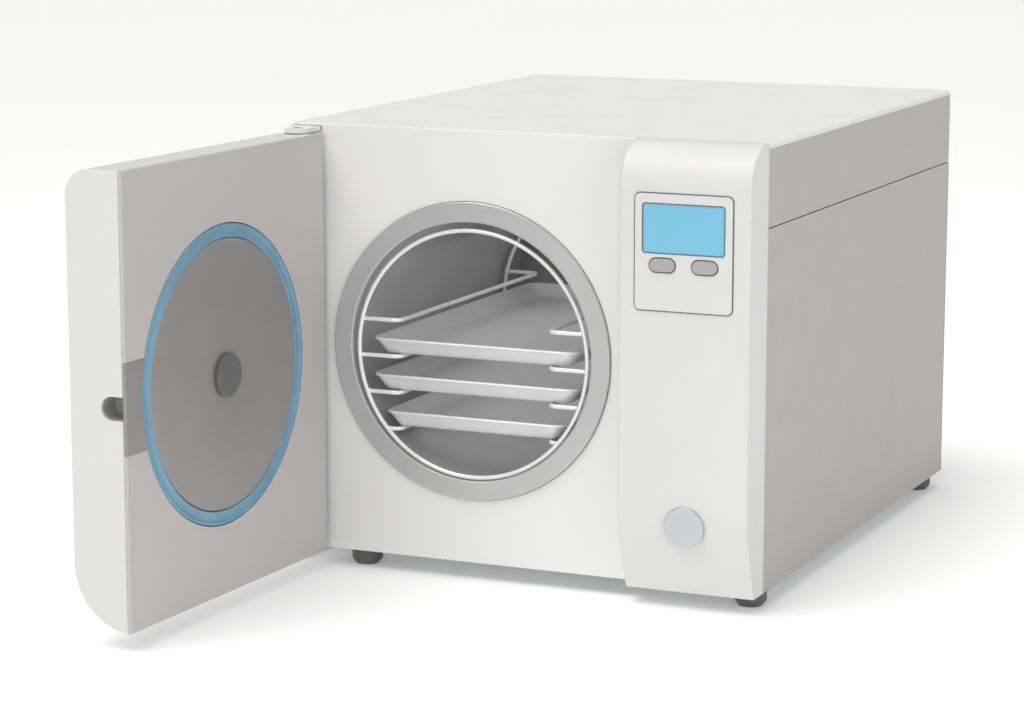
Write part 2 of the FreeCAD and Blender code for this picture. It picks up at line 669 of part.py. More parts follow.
def make_door_shell():
    """White moulded door cover, rounded at its top and swept back at its foot."""
    shell = new_body("DoorShell")
    inner_y, outer_y = SHUT_Y, f"({SHUT_Y} - door_thickness)"
    points = [(inner_y, "door_low"), (outer_y, "door_low"), (outer_y, "door_high"),
              (inner_y, "door_high")]
    pad(shell, polygon(shell, "YZ_Plane", points, "door_left"), "door_right - door_left")
    face_y = front - SIZES["door_gap"] - SIZES["door_thickness"]
    lining_y = front - SIZES["door_gap"] - SIZES["liner"]
    soften(shell, "door_foot_round", lambda edge: runs(edge, "x") and near(edge.BoundBox.YMin, face_y)
           and edge.BoundBox.ZMin < 100)
    soften(shell, "door_top_round", lambda edge: runs(edge, "x") and near(edge.BoundBox.YMin, face_y)
           and edge.BoundBox.ZMin > 100)
    lining = rectangle(shell, "XZ_Plane", ("door_left - 5", "door_right + 5"),
                       ("door_low - 5", "door_high + 5"), f"-({SHUT_Y})")
    sink(shell, lining, "liner", True)
    soften(shell, "door_hinge_round", lambda edge: runs(edge, "z")
           and near(edge.BoundBox.XMin, SIZES["door_left"]) and near(edge.BoundBox.YMin, face_y))
    hollow(shell, "door_wall", lambda face: lies_at(face, "y", lining_y))
    soften(shell, "2", lambda edge: runs(edge, "z") and near(edge.BoundBox.XMin, SIZES["door_right"])
           and near(edge.BoundBox.YMin, face_y))
    soften(shell, "2.5", lambda edge: runs(edge, "z") and near(edge.BoundBox.XMin, SIZES["door_left"])
           and near(edge.BoundBox.YMin, lining_y))
    pocket(shell, circles(shell, "XY_Plane", [("hinge_x", "hinge_y", "hinge_pin_radius + 0.3")]))
    slot = rectangle(shell, "YZ_Plane", (f"{SHUT_Y} - liner - slot_inset", SHUT_Y),
                     ("lock_z - slot_height / 2", "lock_z + slot_height / 2"), "door_right + 1")
    sink(shell, slot, "door_wall + 2")
    end = circles(shell, "YZ_Plane", [(f"{SHUT_Y} - liner - slot_inset", "lock_z", "slot_height / 2")],
                  "door_right + 1")
    sink(shell, end, "door_wall + 2")
    finish(swing_open(shell), "door_shell")


def make_door_liner():
    """Warm grey inner sheet, with a round opening for the plate and a cut for the strap."""
    liner = new_body("DoorLiner")
    outline = rectangle(liner, "XZ_Plane", ("door_left + 4.5", "door_right"), ("door_low", "door_high"),
                        shut_plane("0"))
    pad(liner, outline, "liner")
    soften(liner, "1", lambda edge: lies_at(edge, "y", front - SIZES["door_gap"]))
    pocket(liner, circles(liner, "XZ_Plane", [("chamber_x", "chamber_z", "gasket_radius + 0.6")]))
    pocket(liner, rectangle(liner, "XZ_Plane", ("chamber_x + 100", "door_right + 5"),
                            ("lock_z - strap_height / 2 - 0.2", "lock_z + strap_height / 2 + 0.2")))
    finish(swing_open(liner), "door_liner")


def make_door_frame():
    """Cast frame in the door that ties the two pivot blocks, the plate and the strap."""
    frame = new_body("DoorFrame")
    outline = rectangle(frame, "XZ_Plane", ("door_left + 7", "door_right - 30"), ("80", "390"),
                        shut_plane("plate_thickness + 0.5"))
    pad(frame, outline, "frame_web")
    for low, high in (("100", "chamber_z - 40"), ("chamber_z + 40", "372")):
        pocket(frame, rectangle(frame, "XZ_Plane", ("door_left + 45", "door_right - 50"), (low, high)))
    blocks = [block(f"PivotBlock{number}", ("door_left + 7", "door_left + 27"),
                    (f"{SHUT_Y} - 34", f"{SHUT_Y} - 12"), levels)
              for number, levels in enumerate((("44", "82"), ("375", "door_high - 16")))]
    bores = [rod(f"PivotBore{number}", "z", ("hinge_x", "hinge_y", low), "hinge_pin_radius", "60")
             for number, low in enumerate(("30", "365"))]
    cast = fuse("DoorFrameCast", [frame] + blocks)
    finish(swing_open(cut("DoorFrameBored", cast, bores)), "door_frame")


def make_hinge_pins():
    """Upper and lower pivot pins, held in the door and turning in the brackets."""
    pins = [rod("LowerPin", "z", ("hinge_x", "hinge_y", "foot_height - 5.2"), "hinge_pin_radius", "68"),
            rod("UpperPin", "z", ("hinge_x", "hinge_y", "door_high - 45"), "hinge_pin_radius", "50.5")]
    finish(swing_open(group("HingePins", pins)), "door_hinge_pins")


def make_plate():
    """Pressure plate with a stepped rim, its blue seal and the hub at its middle."""
    centre = (SIZES["chamber_x"], SIZES["chamber_z"])
    face, seal_face = SHUT_Y, f"({SHUT_Y} + gasket_proud)"
    step, behind = f"({SHUT_Y} - seal_seat)", f"({SHUT_Y} - plate_thickness)"
    face_y = front - SIZES["door_gap"]

    plate = new_body("PressurePlate")
    revolve(plate, [("0", behind), ("gasket_radius + 0.2", behind), ("gasket_radius + 0.2", step),
                    ("plate_radius", step), ("plate_radius", face), ("0", face)])
    soften(plate, "1.5", lambda edge: lies_at(edge, "y", face_y) and edge.BoundBox.XLength > 100)
    finish(swing_open(plate, *centre), "pressure_plate")

    seal = new_body("Seal")
    revolve(seal, [("plate_radius + 0.2", f"{step} + 0.1"), ("gasket_radius", f"{step} + 0.1"),
                   ("gasket_radius", seal_face), ("plate_radius + 0.2", seal_face)])
    soften(seal, "2.5", lambda edge: lies_at(edge, "y", face_y + SIZES["gasket_proud"]))
    finish(swing_open(seal, *centre), "door_seal")

    hub = new_body("Hub")
    revolve(hub, [("0", f"{face} + 0.1"), ("boss_radius", f"{face} + 0.1"),
                  ("boss_radius", f"{face} + boss_proud"), ("0", f"{face} + boss_proud")])
    soften(hub, "2", lambda edge: lies_at(edge, "y", face_y + SIZES["boss_proud"]))
    finish(swing_open(hub, *centre), "plate_hub")


def make_lock_strap():
    """Steel strap from the door's free edge to the plate, and the keeper block behind it."""
    half_strap = "strap_height / 2"
    strap = block("StrapBar", ("chamber_x + 100.2", "door_right"), (f"{SHUT_Y} - liner", f"{SHUT_Y} + 0.4"),
                  (f"lock_z - {half_strap}", f"lock_z + {half_strap}"))
    round_end = rod("StrapEnd", "y", ("chamber_x", f"{SHUT_Y} - 20", "chamber_z"),
                    "gasket_radius + 0.6", "40")
    finish(swing_open(cut("LockStrap", strap, [round_end])), "lock_strap")

    deep = f"({SHUT_Y} - liner - 25)"
    keeper = block("KeeperBlock", ("chamber_x + gasket_radius + 1.2", "door_right - door_wall - 0.2"),
                   (deep, f"{SHUT_Y} - liner - 0.2"), ("lock_z - 22", "lock_z + 22"))
    slot = block("KeeperSlot", ("door_right - door_wall - slot_depth + 3", "door_right + 5"),
                 (f"{SHUT_Y} - liner - slot_inset", f"{SHUT_Y}"),
                 ("lock_z - slot_height / 2", "lock_z + slot_height / 2"))
    slot_end = rod("KeeperSlotEnd", "x", ("door_right - door_wall - slot_depth + 3",
                                         f"{SHUT_Y} - liner - slot_inset", "lock_z"), "slot_height / 2", "30")
    finish(swing_open(cut("LockKeeper", keeper, [slot, slot_end])), "lock_keeper")


def make_hinge_brackets():
    """Two steel arms, above and below the door, bored for the pivot pins."""
    arms = []
    levels = [("door_high + 1", "door_high + 5"), ("foot_height - 4", "foot_height - 0.1")]
    for number, (low, high) in enumerate(levels):
        arm = block(f"ArmPlate{number}", ("hinge_x - arm_half_width", "hinge_x + arm_half_width"),
                    ("hinge_y", "arm_back_y"), (low, high))
        nose = rod(f"ArmNose{number}", "z", ("hinge_x", "hinge_y", low), "arm_half_width",
                   f"{high} - ({low})")
        bore = rod(f"ArmBore{number}", "z", ("hinge_x", "hinge_y", f"{low} - 5"),
                   "hinge_pin_radius + 0.05", "20")
        arms.append(cut(f"HingeArm{number}", fuse(f"ArmSolid{number}", [arm, nose]), [bore]))
    finish(group("HingeBrackets", arms), "hinge_brackets")


def make_lock():
    """Solenoid in the column and the bolt that it drives into the door's slot."""
    wide, tall = "bolt_width / 2", "bolt_height / 2"
    tip = "(column_left + 0.2)"
    head = block("BoltHead", (tip, f"{tip} + bolt_length"), (f"lock_y - {wide}", f"lock_y + {wide}"),
                 (f"lock_z - {tall}", f"lock_z + {tall}"))
    smooth = rounded("BoltHeadRound", head, 3.0, lambda edge: runs(edge, "x"))
    plunger = rod("BoltPlunger", "x", (f"{tip} + bolt_length - 1", "lock_y", "lock_z"),
                  "plunger_radius", "solenoid_length - 6")
    finish(fuse("LockBolt", [smooth, plunger]), "lock_bolt")

    length = (f"{tip} + bolt_length + 2", f"{tip} + bolt_length + 2 + solenoid_length")
    case = block("SolenoidCase", length, ("lock_y - 14", "lock_y + 18"), ("lock_z - 19", "lock_z + 19"))
    bore = rod("SolenoidBore", "x", (f"{tip} + bolt_length - 2", "lock_y", "lock_z"),
               "plunger_radius + 0.4", "solenoid_length")
    flange = block("SolenoidFoot", length, ("lock_y + 15", "lock_y + 18"),
                   ("lock_z - 30", "lock_z + 30"))
    finish(cut("LockSolenoid", fuse("SolenoidSolid", [case, flange]), [bore]), "lock_solenoid")


# ---- rack and trays ----------------------------------------------------------------------

def make_rack():
    """Two wire hoops and the eight rails that are welded to them."""
    hoops = []
    for number, y in enumerate(("hoop_front_y", "hoop_back_y")):
        hoop = doc.addObject("Part::Torus", f"Hoop{number}")
        bind(hoop, "Radius1", "hoop_radius")
        bind(hoop, "Radius2", "wire_radius")
        hoop.Placement = FreeCAD.Placement(Vector(), ALONG["y"])
        hoops.append(place(hoop, "chamber_x", y, "hoop_z"))
    finish(group("RackHoops", hoops), "rack_hoops")

    wire = size("wire_radius")
    ahead = size("hoop_front_y") + 2 * wire
    behind = size("hoop_back_y") - 2 * wire
    rails = []
    for level in range(4):
        z = size("rail_top_z") - level * size("rail_pitch")
        reach = math.sqrt(size("hoop_radius") ** 2 - (z - size("hoop_z")) ** 2)
        for side in (-1, 1):
            hoop_x = size("chamber_x") + side * reach
            rail_x = size("chamber_x") + side * size("rail_x")
            route = [Vector(hoop_x, ahead, z), Vector(rail_x, ahead, z), Vector(rail_x, behind, z),
                     Vector(hoop_x, behind, z)]
            bend = min(size("rail_bend"), 0.8 * abs(hoop_x - rail_x))
            rails.append(bar_along(route, bend, wire))
    welded = doc.addObject("Part::Feature", "RackRails")
    welded.Shape = Part.makeCompound(rails)
    finish(welded, "rack_rails")


def make_trays():
    """Three pressed trays with flared sides, on the three lower pairs of rails."""
    for level, label in enumerate(("tray_upper", "tray_middle", "tray_lower"), 1):
        tray = new_body(label, "chamber_x", "0",
                        f"rail_top_z - {level} * rail_pitch + wire_radius + gap")
        wide = "low_tray_half_width" if label == "tray_lower" else "tray_half_width"
        foot = f"{wide} - tray_flare"
        ends = ("tray_front_y + tray_nose", "tray_front_y + tray_length - tray_nose")
        bottom = rectangle(tray, "XY_Plane", (f"-({foot})", foot), ends)
        rim_ends = ("tray_front_y", "tray_front_y + tray_length")
        rim = rectangle(tray, "XY_Plane", (f"-{wide}", wide), rim_ends, "tray_height")
        loft = tray.newObject("PartDesign::AdditiveLoft", label + "_loft")
        loft.Profile = bottom
        loft.Sections = [(rim, [""])]
        loft.Ruled = True
        hollow(tray, "tray_wall", lambda face: lies_at(face, "z", SIZES["tray_height"]))
        finish(tray, label)


# ---- rear services -----------------------------------------------------------------------

def make_fan():
    """Fan frame with its four spider arms, and the bladed rotor."""
    half_fan = "fan_size / 2"
    rear = f"({REAR} - 0.3)"
    case = block("FanCase", (f"fan_x - {half_fan}", f"fan_x + {half_fan}"), (f"{rear} - fan_depth", rear),
                 (f"fan_z - {half_fan}", f"fan_z + {half_fan}"))
    bore = rod("FanBore", "y", ("fan_x", f"{rear} - fan_depth - 1", "fan_z"), "fan_bore",
               "fan_depth + 2")
    ring = cut("FanRing", case, [bore])
    arms = [block("FanArmAcross", ("fan_x - 58", "fan_x + 58"), (f"{rear} - 2.5", rear),
                  ("fan_z - 3", "fan_z + 3")),
            block("FanArmUp", ("fan_x - 3", "fan_x + 3"), (f"{rear} - 2.5", rear),
                  ("fan_z - 58", "fan_z + 58")),
            rod("FanMotor", "y", ("fan_x", f"{rear} - 2.5", "fan_z"), "20", "2.5")]
    finish(fuse("FanFrame", [ring] + arms), "fan_frame")

    rotor_y = f"({rear} - fan_depth + 2)"
    hub = rod("RotorHub", "y", ("fan_x", rotor_y, "fan_z"), "hub_radius", "fan_depth - 5")
    centre = Vector(size("fan_x"), back - size("sheet") - size("fan_depth") + 3.7, size("fan_z"))
    tilt = FreeCAD.Rotation(Vector(1, 0, 0), size("blade_pitch"))
    pitch = FreeCAD.Placement(Vector(size("hub_radius") - 1.5, 1, -6), tilt)
    blades = []
    for number in range(7):
        blade = doc.addObject("Part::Box", f"Blade{number}")
        bind(blade, "Length", "blade_length")
        bind(blade, "Width", "blade_width")
        bind(blade, "Height", "blade_thickness")
        spin = FreeCAD.Placement(centre, FreeCAD.Rotation(Vector(0, 1, 0), number * 360 / 7))
        blade.Placement = spin.multiply(pitch)
        blades.append(blade)
    finish(fuse("FanRotor", [hub] + blades), "fan_rotor")


def make_services():
    """Mains socket, power switch, hose ports and safety valve on the back."""
    out = f"({BACK} + 0.1)"
    flange = block("InletFlange", ("inlet_x - 24", "inlet_x + 24"), (out, f"{out} + 2.5"),
                   ("service_z - 13", "service_z + 13"))
    core = block("InletCore", ("inlet_x - 13.6", "inlet_x + 13.6"), (f"{out} - 24", out),
                 ("service_z - 10", "service_z + 10"))
    recess = block("InletRecess", ("inlet_x - 12", "inlet_x + 12"), (f"{out} - 15", f"{out} + 5"),
                   ("service_z - 8.2", "service_z + 8.2"))
    socket = cut("InletSocket", fuse("InletSolid", [flange, core]), [recess])
    blades = [block(f"InletPin{number}", (f"inlet_x + {x} - 1", f"inlet_x + {x} + 1"),
                    (f"{out} - 17", f"{out} - 3"), (f"service_z + {z} - 2", f"service_z + {z} + 2"))
              for number, (x, z) in enumerate(((-7, -2), (0, 2), (7, -2)))]
    finish(fuse("MainsInlet", [socket] + blades), "mains_inlet")

    bezel = block("SwitchBezel", ("rocker_x - 16.5", "rocker_x + 16.5"), (out, f"{out} + 2"),
                  ("service_z - 12.5", "service_z + 12.5"))
    body = block("SwitchBody", ("rocker_x - 14", "rocker_x + 14"), (f"{out} - 20", out),
                 ("service_z - 10.5", "service_z + 10.5"))
    well = block("SwitchWell", ("rocker_x - 12", "rocker_x + 12"), (f"{out} - 12", f"{out} + 5"),
                 ("service_z - 8.5", "service_z + 8.5"))
    finish(cut("SwitchFrame", fuse("SwitchSolid", [bezel, body]), [well]), "switch_frame")

    rocker = new_body("Rocker", "rocker_x", f"{out} - 3", "service_z")
    points = [("-10", "-2"), ("0", "-4"), ("10", "-2"), ("10", "5"), ("0", "3.6"), ("-10", "7.5")]
    pad(rocker, polygon(rocker, "XY_Plane", points, "-7.4"), "14.8")
    pivot = rod("RockerPivot", "z", ("rocker_x", f"{out} - 4", "service_z - 8.3"), "2", "16.6")
    finish(fuse("RockerPivoted", [rocker, pivot]), "power_rocker")

    ports = []
    for number, x in enumerate(("drain_x", "waste_x")):
        collar = rod(f"PortCollar{number}", "y", (x, out, "port_z"), "9", "4")
        neck = rod(f"PortNeck{number}", "y", (x, f"{out} - 12", "port_z"), "6.5", "12.5")
        nipple = rod(f"PortNipple{number}", "y", (x, f"{out} + 3", "port_z"), "port_radius",
                     "port_length + 1")
        way = rod(f"PortWay{number}", "y", (x, f"{out} - 20", "port_z"), "port_bore", "60")
        ports.append(cut(f"Port{number}", fuse(f"PortSolid{number}", [collar, neck, nipple]), [way]))
    finish(group("WaterPorts", ports), "water_ports")

    stages = [("13", f"{out}", "7"), ("6.5", f"{out} - 12", "13"), ("9", f"{out} + 6", "18"),
              ("11", f"{out} + 23", "5")]
    turned = [rod(f"Valve{number}", "y", ("valve_x", y, "valve_z"), radius, length)
              for number, (radius, y, length) in enumerate(stages)]
    finish(fuse("SafetyValve", turned), "safety_valve")


# ---- inside the housing ------------------------------------------------------------------

def make_tank(label, left, right):
    """Moulded water tank on the shelf, hollow, with a filler neck at its front."""
    low, high = "(shelf_z + 2)", "(shelf_z + 2 + tank_height)"
    outer = block(label + "Outer", (left, right), ("tank_front_y", "tank_back_y"), (low, high))
    soft = rounded(label + "Soft", outer, 8.0, lambda edge: runs(edge, "z"))
    inner = block(label + "Inner", (f"{left} + tank_wall", f"{right} - tank_wall"),
                  ("tank_front_y + tank_wall", "tank_back_y - tank_wall"),
                  (f"{low} + tank_wall", f"{high} - tank_wall"))
    neck = rod(label + "Neck", "z", (f"({left} + {right}) / 2", "filler_y", f"{high} - 5"),
               "filler_radius", "10")
    finish(cut(label, soft, [inner, neck]), label)


def make_tank_caps():
    caps = []
    for number, x in enumerate(("-147", "26")):
        lid = rod(f"CapLid{number}", "z", (x, "filler_y", "shelf_z + tank_height + 2.1"),
                  "filler_radius + 4", "6")
        plug = rod(f"CapPlug{number}", "z", (x, "filler_y", "shelf_z + tank_height - 4"),
                   "filler_radius - 0.5", "8")
        caps.append(fuse(f"Cap{number}", [lid, plug]))
    finish(group("TankCaps", caps), "tank_caps")


def make_steam_generator():
    """Upright pressure pot with a bolted lid, on a skirt."""
    pot = new_body("SteamPot", "172", "-205", "0")
    outline = polygon(pot, "XZ_Plane", [
        ("0", "32"), ("30", "32"), ("30", FLOOR), ("33", FLOOR), ("33", "32"), ("36", "36"),
        ("36", "168"), ("44", "168"), ("44", "176"), ("30", "176"), ("22", "186"), ("8", "190"),
        ("8", "204"), ("0", "204")])
    turned = pot.newObject("PartDesign::Revolution", "SteamPotTurned")
    turned.Profile = outline
    turned.ReferenceAxis = (outline, ["V_Axis"])
    turned.Angle = 360
    finish(pot, "steam_generator")


def make_pumps():
    """Vacuum pump with its motor, and the small feed water pump."""
    motor = rod("PumpMotor", "y", ("174", "30", "66"), "34", "110")
    head = block("PumpHead", ("139", "209"), ("139", "205"), ("30", "110"))
    foot = block("PumpFoot", ("144", "204"), ("40", "200"), (FLOOR, "36"))
    outlet = rod("PumpOutlet", "z", ("160", "172", "108"), "6", "18")
    finish(fuse("VacuumPump", [motor, head, foot, outlet]), "vacuum_pump")

    feed_motor = rod("FeedMotor", "y", ("150", "-120", "42"), "18", "60")
    feed_head = rod("FeedHead", "y", ("150", "-61", "42"), "22", "20")
    feed_foot = block("FeedFoot", ("136", "164"), ("-115", "-45"), (FLOOR, "28"))
    finish(fuse("WaterPump", [feed_motor, feed_head, feed_foot]), "water_pump")


def make_valves():
    """Manifold with three solenoid coils."""
    manifold = block("Manifold", ("112", "222"), ("60", "88"), ("132", "152"))
    coils = []
    for number in range(3):
        x = 130 + 37 * number
        coils.append(block(f"Coil{number}", (f"{x - 13}", f"{x + 13}"), ("60", "90"), ("151", "186")))
        coils.append(rod(f"Core{number}", "z", (f"{x}", "75", "185"), "6", "12"))
    stand = block("ValveStand", ("112", "118"), ("60", "88"), (FLOOR, "133"))
    finish(fuse("SolenoidValves", [manifold, stand] + coils), "solenoid_valves")


def make_condenser():
    """Serpentine cooling tube in front of the fan."""
    ends = [size("coil_left"), size("coil_right")]
    route = []
    for level in range(5):
        z = size("coil_low_z") + level * size("coil_pitch")
        route.extend(Vector(x, size("coil_y"), z) for x in ends)
        ends.reverse()
    coil = doc.addObject("Part::Feature", "Condenser")
    coil.Shape = bar_along(route, size("coil_pitch") / 2 - 0.2, size("pipe_radius"))
    finish(coil, "condenser_coil")


def make_electronics():
    """Main board and power supply on the right of the bay."""
    board = block("MainBoard", ("229", "231"), ("-272", "-122"), ("200", "335"))
    chips = [block(f"Chip{number}", (f"229 - {thick}", "229.1"), (f"{y}", f"{y + wide}"),
                   (f"{z}", f"{z + tall}"))
             for number, (y, z, wide, tall, thick) in enumerate((
                 (-260, 215, 40, 40, 18), (-205, 220, 24, 24, 3), (-170, 215, 30, 18, 14),
                 (-262, 290, 60, 14, 12), (-180, 290, 45, 30, 22)))]
    finish(fuse("ControlBoard", [board] + chips), "control_board")

    case = block("SupplyCase", ("178", "231"), ("-100", "50"), ("215", "320"))
    inner = block("SupplyInner", ("179.2", "229.8"), ("-98.8", "48.8"), ("216.2", "325"))
    core = block("SupplyCore", ("186", "222"), ("-80", "-20"), ("216", "262"))
    finish(fuse("PowerSupply", [cut("SupplyTray", case, [inner]), core]), "power_supply")

    can = rod("FilterCan", "z", ("150", "235", "235"), "27", "62")
    stems = [rod(f"FilterStem{number}", "z", ("150", "235", low), "5", "16")
             for number, low in enumerate(("220", "296"))]
    finish(fuse("AirFilter", [can] + stems), "air_filter")


def make_pipework():
    """Steam pipe from the generator to the vessel's rear, and three hoses."""
    steam = doc.addObject("Part::Feature", "SteamPipe")
    route = [Vector(172, -205, 204.2), Vector(172, -205, 345), Vector(172, 200, 345),
             Vector(-20, 200, 345), Vector(-20, 200, 250), Vector(-20, 168, 250)]
    steam.Shape = bar_along(route, size("pipe_bend"), size("pipe_radius"))
    finish(steam, "steam_pipe")

    hoses = doc.addObject("Part::Feature", "RubberHoses")
    routes = [
        [Vector(-80, 168, 190), Vector(-80, 195, 190), Vector(160, 195, 190), Vector(160, 172, 190),
         Vector(160, 172, 126.2)],
        [Vector(138.8, 172, 60), Vector(20, 172, 60), Vector(20, 250, 60), Vector(-140, 250, 60),
         Vector(-140, 277.8, 60)],
        [Vector(150, -40.8, 42), Vector(150, 0, 42), Vector(125, 0, 42), Vector(125, 240, 42),
         Vector(-180, 240, 42), Vector(-180, 240, 60), Vector(-180, 277.8, 60)],
    ]
    bend, radius = size("hose_bend"), size("hose_radius")
    hoses.Shape = Part.makeCompound([bar_along(points, bend, radius) for points in routes])
    finish(hoses, "rubber_hoses")


def make_screws():
    """Pan-head screws that hold the back panel."""
    reach, low, high = size("screw_x"), size("screw_low_z"), size("screw_high_z")
    places = [(reach * step / 2, z) for step in range(-2, 3) for z in (low, high)]
    places += [(x, low + (high - low) * step / 3) for x in (-reach, reach) for step in (1, 2)]
    screws = []
    for number, (x, z) in enumerate(places):
        head = rod(f"ScrewHead{number}", "y", (f"{x}", f"{BACK} + 0.05", f"{z}"),
                   "screw_radius", "screw_height")
        screws.append(rounded(f"Screw{number}", head, 0.9, lambda edge: near(
            edge.BoundBox.YMin, back + 2.05) and edge.BoundBox.XLength > 1))
    finish(group("RearScrews", screws), "rear_screws")


# ---- build, check and write --------------------------------------------------------------

def build():
    fill_sheet()
    make_base_tray()
    make_feet()
    make_front_frame()
    make_fascia()
    make_side_panel("side_panel_left", -1)
    make_side_panel("side_panel_right", 1)
    make_rear_panel()
    make_hood()
    make_column()
    make_panel()
    make_button("button_left", "button_left_x")
    make_button("button_right", "button_right_x")
    make_chamber()
    make_saddles()
    make_inner_frame()
    make_door_shell()
    make_door_liner()
    make_door_frame()
    make_hinge_pins()
    make_plate()
    make_lock_strap()
    make_hinge_brackets()
    make_lock()
    make_rack()
    make_trays()
    make_fan()
    make_services()
    make_tank("clean_water_tank", "-232", "-62")
    make_tank("waste_water_tank", "-48", "100")
    make_tank_caps()
    make_steam_generator()
    make_pumps()
    make_valves()
    make_condenser()
    make_electronics()
    make_pipework()
    make_screws()
    doc.recompute()


def check():
    """Stops if any object failed, or any sub-part is empty or not valid."""
    for thing in doc.Objects:
        if {"Invalid", "Error"} & set(thing.State):
            raise RuntimeError(f"{thing.Name} failed: {thing.State}")
    for label, thing in parts.items():
        if thing.Shape.isNull() or not thing.Shape.isValid() or not thing.Shape.Solids:
            raise RuntimeError(f"{label} has no valid solid")


def write():
    os.makedirs("parts", exist_ok=True)
    for label, thing in parts.items():
        thing.Shape.exportStep(f"parts/{label}.step")
        print(f"{label}: {len(thing.Shape.Solids)} solids, {thing.Shape.Volume / 1000:.1f} cm3")


build()
check()
write()
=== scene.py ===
"""Looks of the benchtop autoclave: finishes for the CAD pieces, finer meshes, studio and camera."""

import json
import math

import bmesh
import bpy
from mathutils import Matrix, Vector


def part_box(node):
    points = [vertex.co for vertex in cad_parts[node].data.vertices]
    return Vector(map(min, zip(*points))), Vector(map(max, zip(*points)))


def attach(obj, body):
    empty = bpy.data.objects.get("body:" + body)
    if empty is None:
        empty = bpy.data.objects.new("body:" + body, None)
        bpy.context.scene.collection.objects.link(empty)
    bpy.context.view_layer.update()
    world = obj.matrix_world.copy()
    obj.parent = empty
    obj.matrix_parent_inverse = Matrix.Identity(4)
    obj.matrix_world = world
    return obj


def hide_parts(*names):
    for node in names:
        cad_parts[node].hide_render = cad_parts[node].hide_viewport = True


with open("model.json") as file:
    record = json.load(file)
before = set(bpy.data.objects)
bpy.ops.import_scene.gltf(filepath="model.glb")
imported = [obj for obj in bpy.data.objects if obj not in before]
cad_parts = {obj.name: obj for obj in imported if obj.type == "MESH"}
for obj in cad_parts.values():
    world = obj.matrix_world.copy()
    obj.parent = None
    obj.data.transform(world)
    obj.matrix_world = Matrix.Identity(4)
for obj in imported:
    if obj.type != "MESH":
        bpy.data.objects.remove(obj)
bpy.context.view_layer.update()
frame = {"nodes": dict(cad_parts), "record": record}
MM = 0.001


# ---- places read from the frame ----------------------------------------------------------

def middle(node):
    low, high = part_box(node)
    return (Vector(low) + Vector(high)) / 2


def joint(name):
    return next(item for item in frame["record"]["behaviour"]["joints"] if item["name"] == name)


OPEN_ANGLE = math.radians(joint("door_hinge")["range_deg"][0])
DOOR_TURN = Matrix.Rotation(OPEN_ANGLE, 3, "Z")
DOOR_AXIS = DOOR_TURN @ Vector((0, 1, 0))
TRAYS = ("tray_upper", "tray_middle", "tray_lower")
CHAMBER = middle("chamber_ring")
PLATE = middle("pressure_plate")


# ---- node materials ----------------------------------------------------------------------

